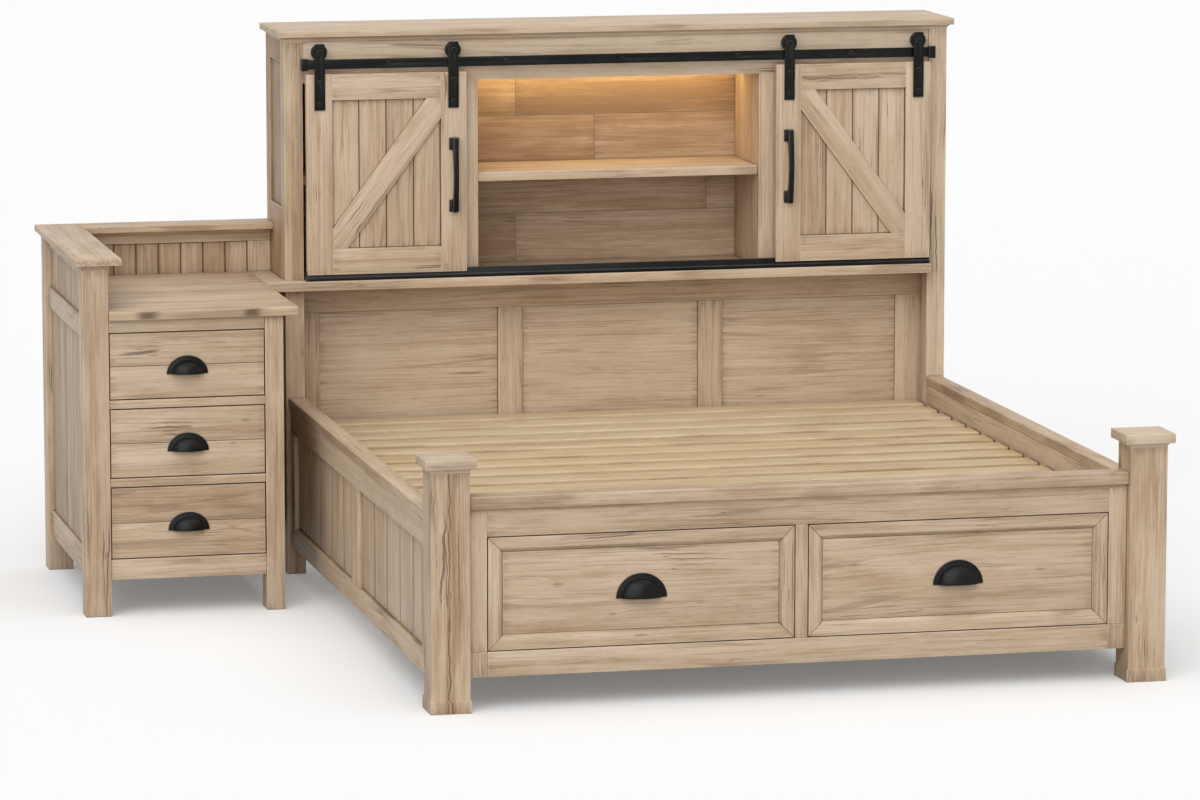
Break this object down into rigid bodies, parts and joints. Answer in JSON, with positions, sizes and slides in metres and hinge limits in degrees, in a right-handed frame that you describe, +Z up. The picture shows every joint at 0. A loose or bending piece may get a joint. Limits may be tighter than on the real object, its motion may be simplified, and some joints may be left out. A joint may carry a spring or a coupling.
{
  "type": "bed frame",
  "caption": "Washed-oak storage bed frame: drawers in the footboard, panelled side rails, bookcase headboard with sliding barn doors and a lit cubby, and a nightstand joined on the left.",
  "frame": {"origin": "middle of the whole piece's footprint, on the floor", "axes": "+X across the bed to the right seen from its foot, +Y from foot to head, +Z up"},
  "size_m": [2.59, 2.306, 1.527],
  "materials": {
    "oak": "matte",
    "drawer_wood": "matte",
    "slat_wood": "matte",
    "black_steel": "matte",
    "aluminium": "satin",
    "diffuser": "matte",
    "black_plastic": "matte"
  },
  "bodies": {
    "frame": {"foot_posts": "oak", "foot_post_caps": "oak", "foot_frame": "oak", "foot_rail_cap": "oak", "drawer_runners": "drawer_wood", "side_frames": "oak", "side_panels": "oak", "side_caps": "oak", "slats": "slat_wood", "deck_supports": "slat_wood", "support_feet": "slat_wood", "head_post_left": "oak", "head_post_right": "oak", "head_sides": "oak", "head_crown": "oak", "rail_fasteners": "black_steel", "head_header": "oak", "head_back_boards": "oak", "head_partitions": "oak", "head_shelves": "oak", "head_ledge": "oak", "head_lower": "oak", "led_channel": "aluminium", "led_diffuser": "diffuser", "led_power_inlet": "black_plastic", "track_fittings": "black_steel", "door_track": "black_steel", "door_guide": "black_steel", "nightstand_legs": "oak", "nightstand_top": "oak", "nightstand_frame": "oak", "nightstand_panels": "oak", "nightstand_gallery_cap": "oak"},
    "door_left": {"door_frame_left": "oak", "door_planks_left": "oak", "door_handle_left": "black_steel", "door_hangers_left": "black_steel"},
    "wheel_left_outer": {"door_wheel_left_outer": "black_steel"},
    "wheel_left_inner": {"door_wheel_left_inner": "black_steel"},
    "door_right": {"door_frame_right": "oak", "door_planks_right": "oak", "door_handle_right": "black_steel", "door_hangers_right": "black_steel"},
    "wheel_right_outer": {"door_wheel_right_outer": "black_steel"},
    "wheel_right_inner": {"door_wheel_right_inner": "black_steel"},
    "foot_drawer_left": {"foot_drawer_front_left": "oak", "foot_drawer_box_left": "drawer_wood", "foot_pull_left": "black_steel"},
    "foot_drawer_right": {"foot_drawer_front_right": "oak", "foot_drawer_box_right": "drawer_wood", "foot_pull_right": "black_steel"},
    "nightstand_drawer_1": {"nightstand_drawer_front_1": "oak", "nightstand_drawer_box_1": "drawer_wood", "nightstand_pull_1": "black_steel"},
    "nightstand_drawer_2": {"nightstand_drawer_front_2": "oak", "nightstand_drawer_box_2": "drawer_wood", "nightstand_pull_2": "black_steel"},
    "nightstand_drawer_3": {"nightstand_drawer_front_3": "oak", "nightstand_drawer_box_3": "drawer_wood", "nightstand_pull_3": "black_steel"}
  },
  "joints": [
    {"name": "door_left_slide", "type": "slide", "parent": "frame", "child": "door_left", "axis": [1, 0, 0], "range_m": [0, 0.44]},
    {"name": "wheel_left_outer_roll", "type": "hinge", "parent": "door_left", "child": "wheel_left_outer", "pos_m": [-0.54, 0.834, 1.4683], "axis": [0, 1, 0], "continuous": true},
    {"name": "wheel_left_inner_roll", "type": "hinge", "parent": "door_left", "child": "wheel_left_inner", "pos_m": [-0.162, 0.834, 1.4683], "axis": [0, 1, 0], "continuous": true},
    {"name": "door_right_slide", "type": "slide", "parent": "frame", "child": "door_right", "axis": [-1, 0, 0], "range_m": [0, 0.44]},
    {"name": "wheel_right_outer_roll", "type": "hinge", "parent": "door_right", "child": "wheel_right_outer", "pos_m": [1.184, 0.834, 1.4683], "axis": [0, -1, 0], "continuous": true},
    {"name": "wheel_right_inner_roll", "type": "hinge", "parent": "door_right", "child": "wheel_right_inner", "pos_m": [0.806, 0.834, 1.4683], "axis": [0, -1, 0], "continuous": true},
    {"name": "foot_drawer_left_slide", "type": "slide", "parent": "frame", "child": "foot_drawer_left", "axis": [0, -1, 0], "range_m": [0, 0.52]},
    {"name": "foot_drawer_right_slide", "type": "slide", "parent": "frame", "child": "foot_drawer_right", "axis": [0, -1, 0], "range_m": [0, 0.52]},
    {"name": "nightstand_drawer_1_slide", "type": "slide", "parent": "frame", "child": "nightstand_drawer_1", "axis": [0, -1, 0], "range_m": [0, 0.43]},
    {"name": "nightstand_drawer_2_slide", "type": "slide", "parent": "frame", "child": "nightstand_drawer_2", "axis": [0, -1, 0], "range_m": [0, 0.43]},
    {"name": "nightstand_drawer_3_slide", "type": "slide", "parent": "frame", "child": "nightstand_drawer_3", "axis": [0, -1, 0], "range_m": [0, 0.43]}
  ],
  "couplings": [
    {"joint": "wheel_left_outer_roll", "follows": "door_left_slide", "rad_per_m": 50},
    {"joint": "wheel_left_inner_roll", "follows": "door_left_slide", "rad_per_m": 50},
    {"joint": "wheel_right_outer_roll", "follows": "door_right_slide", "rad_per_m": 50},
    {"joint": "wheel_right_inner_roll", "follows": "door_right_slide", "rad_per_m": 50}
  ]
}
